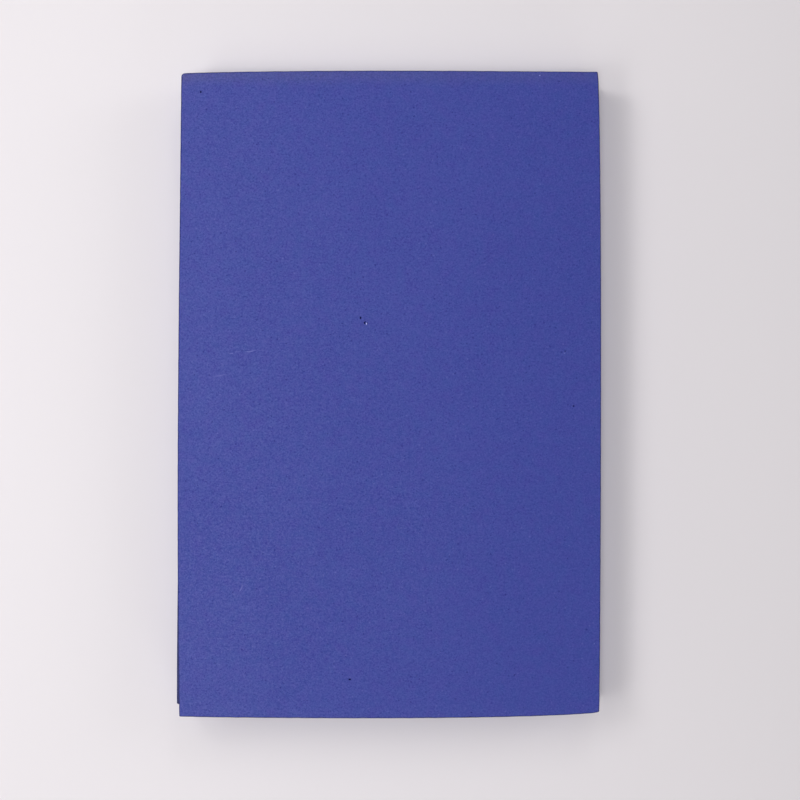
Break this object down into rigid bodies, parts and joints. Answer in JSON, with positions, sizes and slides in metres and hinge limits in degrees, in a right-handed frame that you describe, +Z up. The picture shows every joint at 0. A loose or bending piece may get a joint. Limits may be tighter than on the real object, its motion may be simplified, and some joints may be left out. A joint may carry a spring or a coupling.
{
  "type": "eva foam sheet",
  "caption": "Thick rectangular sheet of blue closed-cell EVA foam with hand-cut edges, laid flat, for craft, padding and bench work.",
  "frame": {"origin": "middle of the bounding rectangle of the underside, on the surface that the sheet lies on", "axes": "+X across the width, +Y along the length towards the worn corner's end, +Z up through the thickness"},
  "size_m": [0.154, 0.23, 0.015],
  "materials": {
    "blue_foam": "matte closed-cell foam"
  },
  "bodies": {
    "root": {"foam_sheet": "blue_foam"}
  },
  "joints": []
}
